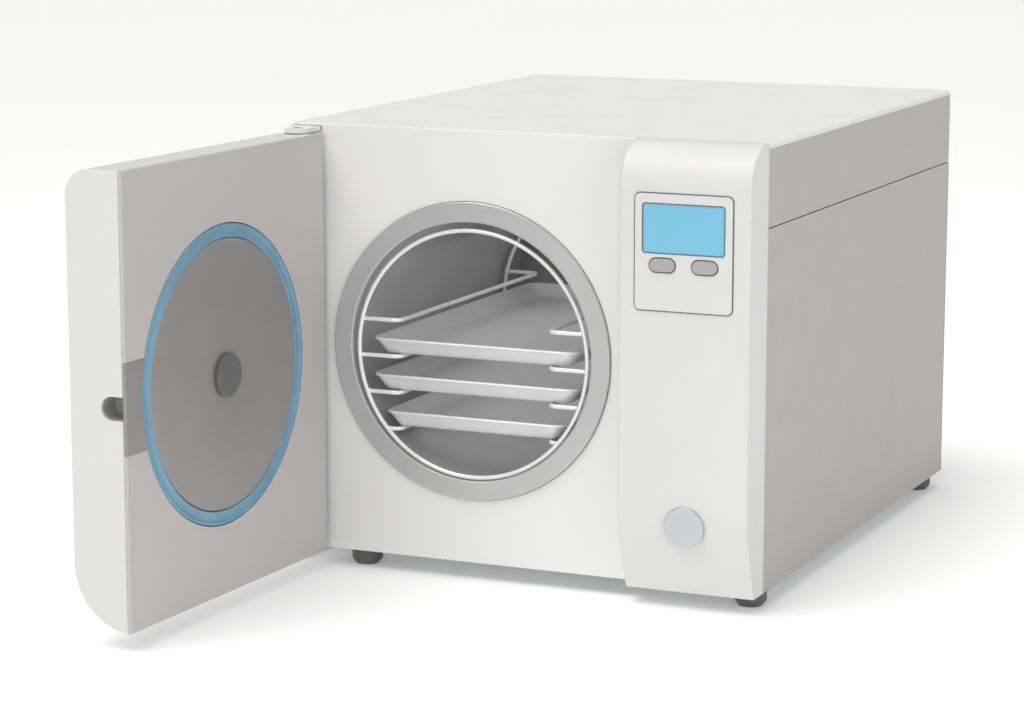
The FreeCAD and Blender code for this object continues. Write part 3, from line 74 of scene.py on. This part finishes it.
class Finish:
    """A node material that is built up socket by socket."""

    def __init__(self, name, colour, roughness, metallic=0.0, **fixed):
        self.material = bpy.data.materials.new(name)
        self.material.use_nodes = True
        self.tree = self.material.node_tree
        self.shader = self.tree.nodes["Principled BSDF"]
        self.shader.inputs["Base Color"].default_value = (*colour, 1)
        self.shader.inputs["Roughness"].default_value = roughness
        self.shader.inputs["Metallic"].default_value = metallic
        for socket, value in fixed.items():
            self.shader.inputs[socket.replace("_", " ")].default_value = value
        self.colour, self.roughness = colour, roughness
        self.place = self.add("ShaderNodeTexCoord").outputs["Object"]

    def add(self, kind, settings=None, **sockets):
        node = self.tree.nodes.new(kind)
        for name, value in (settings or {}).items():
            setattr(node, name, value)
        for name, value in sockets.items():
            key = int(name[1:]) if name[1:].isdigit() else name.replace("_", " ")
            self.feed(node.inputs[key], value)
        return node

    def feed(self, socket, value):
        if isinstance(value, bpy.types.NodeSocket):
            self.tree.links.new(value, socket)
        else:
            socket.default_value = value

    def maths(self, operation, *values):
        sockets = {f"i{index}": value for index, value in enumerate(values)}
        return self.add("ShaderNodeMath", {"operation": operation}, **sockets).outputs[0]

    def noise(self, scale, detail=3.0, vector=None, rough=0.5, stretch=None):
        vector = vector or self.place
        if stretch:
            vector = self.add("ShaderNodeMapping", Vector=vector, Scale=stretch).outputs[0]
        return self.add("ShaderNodeTexNoise", Vector=vector, Scale=scale, Detail=detail,
                        Roughness=rough).outputs["Fac"]

    def spread(self, value, low, high):
        """Maps a noise value, which stays near a half, to the range from low to high."""
        return self.add("ShaderNodeMapRange", Value=value, From_Min=0.3, From_Max=0.7, To_Min=low,
                        To_Max=high).outputs[0]

    def mottle(self, amount, scale=9.0, tint=(1.0, 1.0, 1.0)):
        """Slow, faint variation of the colour."""
        dark = [channel * (1 - amount) * shade for channel, shade in zip(self.colour, tint)]
        light = [min(1.0, channel * (1 + amount)) for channel in self.colour]
        mix = self.add("ShaderNodeMix", {"data_type": "RGBA"})
        self.feed(mix.inputs["Factor"], self.spread(self.noise(scale, 6.0, rough=0.6), 0.0, 1.0))
        self.feed(mix.inputs["A"], (*dark, 1))
        self.feed(mix.inputs["B"], (*light, 1))
        self.feed(self.shader.inputs["Base Color"], mix.outputs["Result"])
        self.colour_out = mix.outputs["Result"]
        return self

    def darken(self, mask, shade):
        """Multiplies the colour by shade where the mask is one."""
        mix = self.add("ShaderNodeMix", {"data_type": "RGBA", "blend_type": "MULTIPLY"})
        self.feed(mix.inputs["Factor"], mask)
        self.feed(mix.inputs["A"], self.colour_out)
        self.feed(mix.inputs["B"], (*shade, 1))
        self.feed(self.shader.inputs["Base Color"], mix.outputs["Result"])
        self.colour_out = mix.outputs["Result"]
        return self

    def vary_roughness(self, amount, scale=25.0):
        cloud = self.noise(scale, 5.0)
        value = self.spread(cloud, self.roughness - amount, self.roughness + amount)
        self.feed(self.shader.inputs["Roughness"], value)
        return self

    def relief(self, height, distance, strength=1.0):
        """Adds a bump on top of whatever bump is there already."""
        bump = self.add("ShaderNodeBump", Height=height, Distance=distance, Strength=strength)
        old = self.shader.inputs["Normal"].links
        if old:
            self.feed(bump.inputs["Normal"], old[0].from_socket)
        self.feed(self.shader.inputs["Normal"], bump.outputs[0])
        return self

    def round_edges(self, radius):
        bevel = self.add("ShaderNodeBevel", {"samples": 6}, Radius=radius)
        self.feed(self.shader.inputs["Normal"], bevel.outputs[0])
        return self

    def radius_from(self, centre, axis):
        """Distance of the shaded point from an axis through centre."""
        away = self.add("ShaderNodeVectorMath", {"operation": "SUBTRACT"}, i0=self.place,
                        i1=tuple(centre)).outputs["Vector"]
        along = self.add("ShaderNodeVectorMath", {"operation": "DOT_PRODUCT"}, i0=away,
                         i1=tuple(axis)).outputs["Value"]
        drop = self.add("ShaderNodeVectorMath", {"operation": "SCALE"}, i0=tuple(axis),
                        Scale=along).outputs["Vector"]
        flat = self.add("ShaderNodeVectorMath", {"operation": "SUBTRACT"}, i0=away, i1=drop)
        return self.add("ShaderNodeVectorMath", {"operation": "LENGTH"},
                        i0=flat.outputs["Vector"]).outputs["Value"]

    def turned(self, centre, axis, depth=0.00004):
        """Fine concentric tool marks."""
        radius = self.radius_from(centre, axis)
        marks = self.add("ShaderNodeCombineXYZ", X=radius).outputs[0]
        lines = self.noise(2600.0, 3.0, vector=marks, rough=0.7)
        self.relief(lines, depth, 0.5)
        value = self.spread(lines, self.roughness - 0.06, self.roughness + 0.08)
        self.feed(self.shader.inputs["Roughness"], value)
        return self

    def brushed(self, stretch, depth=0.00004, scale=900.0):
        """Fine parallel marks, drawn out by stretch."""
        lines = self.noise(scale, 4.0, stretch=stretch, rough=0.7)
        self.relief(lines, depth, 0.5)
        value = self.spread(lines, self.roughness - 0.06, self.roughness + 0.08)
        self.feed(self.shader.inputs["Roughness"], value)
        return self


def paint(name, colour, roughness=0.47):
    """Powder coat: faint cloudiness and a shallow orange peel."""
    finish = Finish(name, colour, roughness, IOR=1.5)
    finish.mottle(0.009, 5.0, (1.0, 1.0, 0.992)).vary_roughness(0.05).round_edges(0.0006)
    finish.relief(finish.noise(420.0, 2.0), 0.00009, 0.35)
    finish.relief(finish.noise(1900.0, 2.0), 0.00002, 0.3)
    return finish


def plastic(name, colour, roughness=0.42, grain=0.4):
    """Moulded plastic with a fine spark-eroded texture."""
    finish = Finish(name, colour, roughness, IOR=1.46)
    finish.mottle(0.018, 4.0, (1.0, 0.998, 0.99)).vary_roughness(0.045, 60.0).round_edges(0.0006)
    finish.relief(finish.noise(2300.0, 3.0, rough=0.65), 0.00005, grain)
    return finish


def rubber(name, colour, roughness=0.55):
    finish = Finish(name, colour, roughness, IOR=1.52)
    finish.mottle(0.10, 30.0).vary_roughness(0.09, 90.0).round_edges(0.0004)
    finish.relief(finish.noise(1400.0, 4.0, rough=0.7), 0.00008, 0.5)
    return finish


def metal(name, colour, roughness=0.3, cloud=0.05, share=1.0, edge=0.0005):
    """Metal; share is how much of it is bare, where the rest scatters light as a dull film does."""
    finish = Finish(name, colour, roughness, share)
    finish.mottle(cloud, 14.0).vary_roughness(0.06, 40.0)
    if edge:
        finish.round_edges(edge)
    return finish


def cast(name, colour):
    finish = metal(name, colour, 0.5, 0.08)
    return finish.relief(finish.noise(700.0, 4.0, rough=0.7), 0.00015, 0.6)


def board_green(name, colour):
    """Solder mask with fine tracks under it."""
    finish = Finish(name, colour, 0.3, Coat_Weight=0.4)
    finish.mottle(0.12, 60.0)
    brick = finish.add("ShaderNodeTexBrick", Vector=finish.place, Scale=160.0)
    finish.relief(brick.outputs["Fac"], 0.00006, 0.5)
    return finish


def backlit(name, colour):
    """Display behind clear plastic: a lit blue field with a faint pixel grid and a dimmer rim."""
    finish = Finish(name, colour, 0.16, IOR=1.49, Coat_Weight=0.6, Coat_Roughness=0.06)
    finish.mottle(0.03, 12.0)
    low, high = (Vector(corner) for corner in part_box("display_window"))
    centre, half = (low + high) / 2, (high - low) / 2
    pixel, gap_share, rim_start = 0.6 * MM, 0.16, 0.93
    split = finish.add("ShaderNodeSeparateXYZ", Vector=finish.place)
    lines, offsets = [], []
    for index, axis in ((0, "X"), (2, "Z")):
        along = split.outputs[axis]
        step = finish.maths("FRACT", finish.maths("DIVIDE", along, pixel))
        lines.append(finish.maths("LESS_THAN", step, gap_share))
        offset = finish.maths("DIVIDE", finish.maths("SUBTRACT", along, centre[index]), half[index])
        offsets.append(finish.maths("ABSOLUTE", offset))
    finish.darken(finish.maths("MAXIMUM", *lines), (0.93, 0.95, 0.965))
    edge = finish.maths("MAXIMUM", *offsets)
    rim = finish.add("ShaderNodeMapRange", Value=edge, From_Min=rim_start, From_Max=1.0,
                     To_Min=0.0, To_Max=1.0)
    finish.darken(rim.outputs[0], (0.80, 0.86, 0.90))
    finish.feed(finish.shader.inputs["Emission Color"], finish.colour_out)
    finish.shader.inputs["Emission Strength"].default_value = 0.12
    return finish


# ---- mesh building -----------------------------------------------------------------------

def skin(mesh, loops, closed=False, caps=False):
    """Faces between each loop of points and the next; closed joins the last loop to the first."""
    rows = [[mesh.verts.new(point) for point in loop] for loop in loops]
    following = rows[1:] + rows[:1] if closed else rows[1:]
    for row, other in zip(rows, following):
        for index in range(len(row)):
            ahead = (index + 1) % len(row)
            mesh.faces.new((row[index], row[ahead], other[ahead], other[index]))
    if caps:
        mesh.faces.new(reversed(rows[0]))
        mesh.faces.new(rows[-1])


def turned_loops(profile, centre, axis, steps=128):
    """A profile of (radius, distance along the axis) carried round the axis through centre."""
    axis = Vector(axis).normalized()
    side = axis.orthogonal().normalized()
    other = axis.cross(side)
    turns = [math.tau * step / steps for step in range(steps)]
    spokes = [side * math.cos(turn) + other * math.sin(turn) for turn in turns]
    return [[Vector(centre) + axis * along + spoke * radius for spoke in spokes]
            for radius, along in profile]


def rounded_outline(low, high, radius, steps=7):
    """Corner points of a rectangle with round corners, in the plane of its two axes."""
    corners = [(high[0] - radius, high[1] - radius, 0), (low[0] + radius, high[1] - radius, 90),
               (low[0] + radius, low[1] + radius, 180), (high[0] - radius, low[1] + radius, 270)]
    return [(x + radius * math.cos(math.radians(start + 90 * step / steps)),
             y + radius * math.sin(math.radians(start + 90 * step / steps)))
            for x, y, start in corners for step in range(steps + 1)]


def new_piece(name, mesh, finish, body, replaced=None, sharp=32):
    """Finishes a mesh as a piece that rides on a body and takes its finish from a slot."""
    bmesh.ops.remove_doubles(mesh, verts=mesh.verts, dist=0.001 * MM)
    bmesh.ops.recalc_face_normals(mesh, faces=mesh.faces)
    data = bpy.data.meshes.new(name)
    mesh.to_mesh(data)
    mesh.free()
    data.shade_smooth()
    data.set_sharp_from_angle(angle=math.radians(sharp))
    data.materials.append(finish.material)
    piece = bpy.data.objects.new(name, data)
    bpy.context.collection.objects.link(piece)
    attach(piece, body)
    if replaced:
        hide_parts(replaced)
    return piece


def dress(finish, *nodes):
    """Gives a finish to CAD nodes."""
    for name in nodes:
        piece = frame["nodes"][name]
        for spot in piece.material_slots:
            spot.material = finish.material


WHITE = (0.776, 0.776, 0.776)
# Painted shade: a darker copy of the fascia's white, so the better lit column, door shell and panel
# plate come out no brighter than the fascia
MOULDED_WHITE_PAINTED_SHADE = (0.675, 0.675, 0.675)
# Painted shade: warm grey on the faces turned sideways and back, where the top and front stay white
PAINTED_SHADE_GREY = (0.430, 0.410, 0.404)


def dress_housing():
    dress(paint("paint_white", WHITE), "front_fascia", "top_panel", "hinge_brackets")
    # Side panels, hood skirt and rear panel take the painted shade grey
    dress(paint("painted_shade_grey", PAINTED_SHADE_GREY), "side_panel_left", "side_panel_right", "hood_skirt",
          "rear_panel")
    # The moulded white parts carry painted shade that evens them with the fascia
    dress(plastic("plastic_white_painted_shade", MOULDED_WHITE_PAINTED_SHADE), "column_shell", "door_shell", "panel_plate")
    # The door liner's grey is painted shade too, a little lighter than the side panels
    dress(paint("painted_shade_liner", (0.500, 0.476, 0.469)), "door_liner")
    dress(plastic("plastic_button", (0.400, 0.381, 0.376), 0.38), "button_left", "button_right")
    dress(rubber("rubber_foot", (0.105, 0.105, 0.105)), "feet")
    dress(backlit("display_glass", (0.150, 0.440, 0.620)), "display_window")
    dress(metal("metal_badge", (0.58, 0.59, 0.60), 0.3).brushed((1.0, 1.0, 30.0)), "badge")
    dress(metal("metal_zinc", (0.56, 0.57, 0.58), 0.38, 0.12), "base_tray", "front_frame",
          "inner_frame", "chamber_saddles")


def dress_chamber():
    ring = metal("steel_ring", (0.55, 0.55, 0.55), 0.38, share=0.5).turned(CHAMBER, (0, 1, 0))
    dress(ring, "chamber_ring")
    vessel = metal("steel_vessel", (0.42, 0.42, 0.42), 0.45, 0.07, share=0.2)
    dress(vessel.brushed((1.0, 26.0, 1.0)), "chamber_vessel")
    wire = metal("steel_wire", (0.90, 0.90, 0.90), 0.30, 0.03, share=0.3, edge=0)
    dress(wire, "rack_hoops", "rack_rails")
    make_welds(wire)
    tray = metal("aluminium_tray", (0.74, 0.74, 0.74), 0.42, 0.03, share=0.3)
    tray.brushed((1.0, 0.03, 1.0))
    for node in TRAYS:
        make_tray(node, tray)


def dress_door():
    plate = metal("steel_plate", (0.332, 0.325, 0.316), 0.42, 0.04, share=0.4)
    dress(plate.turned(PLATE, DOOR_AXIS), "pressure_plate")
    strap = metal("steel_strap", (0.312, 0.305, 0.296), 0.42, 0.04, share=0.4)
    dress(strap.brushed((1.0, 1.0, 0.05)), "lock_strap")
    make_seal(rubber("silicone_blue", (0.165, 0.328, 0.451), 0.42))
    hub = plastic("plastic_hub", (0.130, 0.130, 0.130), 0.4)
    dress(hub, "plate_hub")
    make_panel_trims(hub)
    dress(plastic("plastic_keeper", (0.420, 0.420, 0.420), 0.5), "lock_keeper")
    dress(cast("cast_frame", (0.5, 0.5, 0.5)), "door_frame", "power_supply")


def dress_inside():
    ground = metal("steel_ground", (0.58, 0.58, 0.58), 0.25)
    dress(ground, "lock_bolt", "door_hinge_pins")
    make_screws(ground)
    dress(plastic("plastic_black", (0.022, 0.022, 0.022), 0.45), "mains_inlet", "switch_frame",
          "power_rocker", "fan_frame", "fan_rotor", "lock_solenoid", "solenoid_valves")
    dress(rubber("fibre_wrap", (0.74, 0.71, 0.62), 0.9), "insulation_jacket")
    dress(metal("steel_band", (0.42, 0.40, 0.37), 0.45), "heater_band")
    dress(metal("brass_fitting", (0.72, 0.53, 0.22), 0.26), "safety_valve", "water_ports")
    dress(plastic("plastic_tank", (0.74, 0.77, 0.79), 0.42, 0.08), "clean_water_tank",
          "waste_water_tank")
    dress(plastic("plastic_cap", (0.05, 0.18, 0.46), 0.4), "tank_caps")
    dress(metal("steel_pot", (0.55, 0.55, 0.55), 0.3), "steam_generator")
    dress(paint("paint_pump", (0.09, 0.10, 0.12), 0.4), "vacuum_pump", "water_pump")
    copper = metal("copper_tube", (0.80, 0.43, 0.28), 0.30, 0.06, edge=0)
    dress(copper, "condenser_coil", "steam_pipe")
    dress(plastic("plastic_filter", (0.80, 0.80, 0.78)), "air_filter")
    dress(rubber("silicone_hose", (0.50, 0.12, 0.09)), "rubber_hoses")
    dress(board_green("circuit_green", (0.02, 0.13, 0.06)), "display_board", "control_board")


# ---- finer pieces ------------------------------------------------------------------------

WIRE = 2.0 * MM
RIM_BEAD = 1.5 * MM
TRAY_WALL = 1.0 * MM
TRAY_CORNER = 15 * MM
FLARE = (12 * MM, 6 * MM)


def make_tray(node, finish):
    """A pressed tray: round corners, flared walls and a rolled rim, to the CAD tray's size."""
    low, high = (Vector(corner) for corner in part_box(node))
    height = high.z - low.z

    def level(lift, grow):
        """The outline at a height above the tray's underside, moved out by grow."""
        lean = 1 - lift / height
        inset = [flare * lean - grow for flare in FLARE]
        corner = TRAY_CORNER - FLARE[1] * lean + grow
        points = rounded_outline((low.x + inset[0], low.y + inset[1]),
                                 (high.x - inset[0], high.y - inset[1]), corner)
        return [(x, y, low.z + lift) for x, y in points]

    def bead(degrees):
        turn = math.radians(degrees)
        lift = height - RIM_BEAD + RIM_BEAD * math.sin(turn)
        lean_out = FLARE[0] * (1 - lift / height)
        return level(lift, RIM_BEAD * (math.cos(turn) - 1) + lean_out)

    inner = [level(TRAY_WALL, -8 * MM), level(TRAY_WALL, -4 * MM),
             level(1.3 * TRAY_WALL, -2.2 * MM), level(2.4 * TRAY_WALL, -1.2 * MM),
             level(height / 2, -TRAY_WALL), level(0.8 * height, -TRAY_WALL)]
    roll = [bead(degrees) for degrees in range(190, -131, -32)]
    outer = [level(0.74 * height, 0), level(height / 2, 0), level(2.2 * TRAY_WALL, -0.1 * MM),
             level(0.5 * TRAY_WALL, -0.9 * MM), level(0, -2.4 * MM), level(0, -8 * MM)]
    mesh = bmesh.new()
    skin(mesh, inner + roll + outer, caps=True)
    new_piece(node + "_pressed", mesh, finish, node, node, 60)


def make_seal(finish):
    """The door's seal with an outer and an inner lip and a shallow groove between them."""
    low, high = (Vector(corner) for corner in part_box("door_seal"))
    outer_radius = (high.z - low.z) / 2
    ring_middle = outer_radius - 6.5 * MM
    lip = [(6.4, -3.4), (6.4, 1.6), (6.0, 2.7), (5.0, 3.3), (3.9, 3.0), (3.0, 1.9), (1.8, 1.4)]
    profile = [(-across, along) for across, along in lip] + [(0.0, 1.3)] + lip[::-1]
    rounded = [(ring_middle + across * MM, along * MM) for across, along in profile]
    mesh = bmesh.new()
    skin(mesh, turned_loops(rounded, middle("door_seal"), DOOR_AXIS, 160), closed=True)
    new_piece("seal_lipped", mesh, finish, "door", "door_seal", 60)


def make_welds(finish):
    """A small bead where each rail's end meets a hoop."""
    hoop_low, hoop_high = (Vector(corner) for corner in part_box("rack_hoops"))
    centre = (hoop_low + hoop_high) / 2
    radius = (hoop_high.x - hoop_low.x) / 2 - WIRE
    shelves = [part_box(node)[0][2] - WIRE for node in TRAYS]
    shelves.insert(0, 2 * shelves[0] - shelves[1])
    stretch = Matrix.Diagonal((1.35, 0.8, 1.15, 1))
    inward = 0.992
    mesh = bmesh.new()
    for z in shelves:
        reach = math.sqrt(radius ** 2 - (z - centre.z) ** 2)
        for side in (-1, 1):
            for y in (hoop_low.y + 2 * WIRE, hoop_high.y - 2 * WIRE):
                spot = Matrix.Translation((centre.x + side * reach * inward, y, z)) @ stretch
                bmesh.ops.create_icosphere(mesh, subdivisions=2, radius=1.05 * WIRE, matrix=spot)
    new_piece("rack_welds", mesh, finish, "rack", sharp=80)


def make_screws(finish):
    """Pan-head screws with a cross recess, one where each CAD screw is."""
    radius, height = 3.5 * MM, 2.0 * MM
    low, high = (Vector(corner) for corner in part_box("rear_screws"))
    left, right = low.x + radius, high.x - radius
    foot, head = low.z + radius, high.z - radius
    places = [(left + (right - left) * step / 4, z) for step in range(5) for z in (foot, head)]
    places += [(x, foot + (head - foot) * step / 3) for x in (left, right) for step in (1, 2)]
    slot, reach, depth = 0.55 * MM, 2.1 * MM, 1.1 * MM
    rings = [0.06, 0.15, 0.17, 0.35, 0.55, 0.6, 0.62, 0.78, 0.9, 0.97, 1.0]
    mesh = bmesh.new()
    steps = 48
    for x, z in places:
        loops = []
        for ring in rings:
            loop = []
            for step in range(steps):
                turn = math.tau * step / steps
                across, up = ring * radius * math.cos(turn), ring * radius * math.sin(turn)
                crown = height * (1 - 0.45 * ring ** 4)
                in_cross = min(abs(across), abs(up)) < slot and max(abs(across), abs(up)) < reach
                loop.append((x + across, low.y + crown - depth * in_cross, z + up))
            loops.append(loop)
        loops.append([(px, low.y, pz) for px, _, pz in loops[-1]])
        skin(mesh, loops, caps=True)
    new_piece("cross_head_screws", mesh, finish, "housing", "rear_screws", 30)


def make_trim(name, outline, inner, y, depth, finish):
    """A thin flat rim between two outlines of the same count of points, standing proud of y."""
    mesh = bmesh.new()
    front = y - depth
    loops = [[(x, y, z) for x, z in outline], [(x, front, z) for x, z in outline],
             [(x, front, z) for x, z in inner], [(x, y, z) for x, z in inner]]
    skin(mesh, loops, closed=True)
    new_piece(name, mesh, finish, "housing")


def make_panel_trims(finish):
    """Dark gaskets round the control panel, its display and its two buttons."""
    def rims(low, high, radius, width):
        wide = [(low[0] - width, low[1] - width), (high[0] + width, high[1] + width)]
        return rounded_outline(*wide, radius + width), rounded_outline(low, high, radius)

    def flat(node):
        low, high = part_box(node)
        return (low[0], low[2]), (high[0], high[2]), low[1], high[1]

    low, high, face, back = flat("panel_plate")
    make_trim("panel_gasket", *rims(low, high, 5 * MM, 1.0 * MM), back, 0.7 * MM, finish)
    proud = 0.25 * MM
    low, high, _, _ = flat("display_window")
    make_trim("display_gasket", *rims(low, high, 2.2 * MM, 0.9 * MM), face, proud, finish)
    flange, gap = 2 * MM, 0.4 * MM
    for node in ("button_left", "button_right"):
        low, high, _, _ = flat(node)
        cap_low = (low[0] + flange - gap, low[1] + flange - gap)
        cap_high = (high[0] - flange + gap, high[1] - flange + gap)
        radius = (cap_high[1] - cap_low[1]) / 2
        outlines = rims(cap_low, cap_high, radius, 0.7 * MM)
        make_trim(node + "_gasket", *outlines, face, proud, finish)


# ---- studio and camera -------------------------------------------------------------------

def make_floor():
    """A wide pale floor that fills the view up to the horizon."""
    mesh = bmesh.new()
    reach = 40.0
    mesh.faces.new([mesh.verts.new((x * reach, y * reach, -0.0002))
                    for x, y in ((-1, -1), (1, -1), (1, 1), (-1, 1))])
    data = bpy.data.meshes.new("floor")
    mesh.to_mesh(data)
    mesh.free()
    floor = bpy.data.objects.new("floor", data)
    bpy.context.collection.objects.link(floor)
    finish = Finish("floor_paper", (0.90, 0.90, 0.90), 0.75)
    finish.mottle(0.006, 1.5)
    finish.relief(finish.noise(300.0, 3.0), 0.0001, 0.2)
    finish.shader.inputs["Emission Color"].default_value = (1, 1, 1, 1)
    finish.shader.inputs["Emission Strength"].default_value = 0.18
    data.materials.append(finish.material)


def make_light(name, place, target, size, power, colour=(1, 1, 1)):
    data = bpy.data.lights.new(name, "AREA")
    data.shape = "RECTANGLE"
    data.size, data.size_y = size
    data.energy = power
    data.color = colour
    light = bpy.data.objects.new(name, data)
    light.location = place
    light.rotation_euler = (Vector(target) - Vector(place)).to_track_quat("-Z", "Y").to_euler()
    bpy.context.collection.objects.link(light)
    return light


def make_sun(towards, strength, colour):
    """A broad, soft light that falls evenly on everything, the floor far behind too."""
    data = bpy.data.lights.new("key", "SUN")
    data.energy = strength
    data.angle = math.radians(38)
    data.color = colour
    light = bpy.data.objects.new("key", data)
    light.rotation_euler = Vector(towards).to_track_quat("Z", "Y").to_euler()
    bpy.context.collection.objects.link(light)


def lift_chamber():
    """Faint, unseen lights over and under the trays, which keep the chamber out of deep shade."""
    for node, lift, power in (("tray_upper", 90 * MM, 0.14), ("tray_upper", -4 * MM, 0.07),
                              ("tray_middle", -4 * MM, 0.07), ("tray_lower", -4 * MM, 0.09)):
        low, high = (Vector(corner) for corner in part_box(node))
        spot = Vector(((low.x + high.x) / 2, (low.y + high.y) / 2, low.z + lift))
        reach = (high - low) * 0.8
        light = make_light("glow", spot, spot - Vector((0, 0, 1)), (reach.x, reach.y), power)
        light.visible_camera = False
        light.visible_glossy = False


def make_studio():
    make_floor()
    aim = (-0.05, -0.15, 0.2)
    make_sun((-0.22, -0.40, 0.88), 1.5, (1.0, 0.99, 0.975))
    front = make_light("front", (0.7, -3.2, 0.8), aim, (0.8, 0.8), 12)
    front.visible_glossy = False
    make_light("fill", (3.2, -1.6, 1.6), aim, (2.2, 2.2), 21, (0.98, 0.99, 1.0))
    make_light("top", (0.0, 0.3, 3.2), aim, (3.0, 3.0), 26)
    lift_chamber()
    make_sky(0.42, 0.93)


def make_sky(lighting, shown):
    """Even light from all round; past the floor's edge it shows as bright as the floor does."""
    world = bpy.data.worlds.new("studio")
    world.use_nodes = True
    tree = world.node_tree
    background = tree.nodes["Background"]
    background.inputs["Color"].default_value = (1, 1, 1, 1)
    rays = tree.nodes.new("ShaderNodeLightPath")
    strength = tree.nodes.new("ShaderNodeMapRange")
    strength.inputs["To Min"].default_value = lighting
    strength.inputs["To Max"].default_value = shown
    tree.links.new(rays.outputs["Is Camera Ray"], strength.inputs["Value"])
    tree.links.new(strength.outputs[0], background.inputs["Strength"])
    bpy.context.scene.world = world


def make_camera():
    """The viewpoint: right of the middle, a little above, looking down."""
    data = bpy.data.cameras.new("camera")
    data.sensor_width = 36.0
    data.lens = 106.45
    data.clip_start, data.clip_end = 0.1, 100
    camera = bpy.data.objects.new("camera", data)
    camera.location = (1.1269, -2.8225, 0.7187)
    yaw, pitch = math.radians(24.15), math.radians(10.26)
    level = math.cos(pitch)
    aim = Vector((-math.sin(yaw) * level, math.cos(yaw) * level, -math.sin(pitch)))
    camera.rotation_mode = "QUATERNION"
    camera.rotation_quaternion = aim.to_track_quat("-Z", "Y")
    bpy.context.collection.objects.link(camera)
    bpy.context.scene.camera = camera


dress_housing()
dress_chamber()
dress_door()
dress_inside()
make_studio()
make_camera()

bpy.context.scene.view_settings.view_transform = "Standard"
bpy.context.view_layer.update()
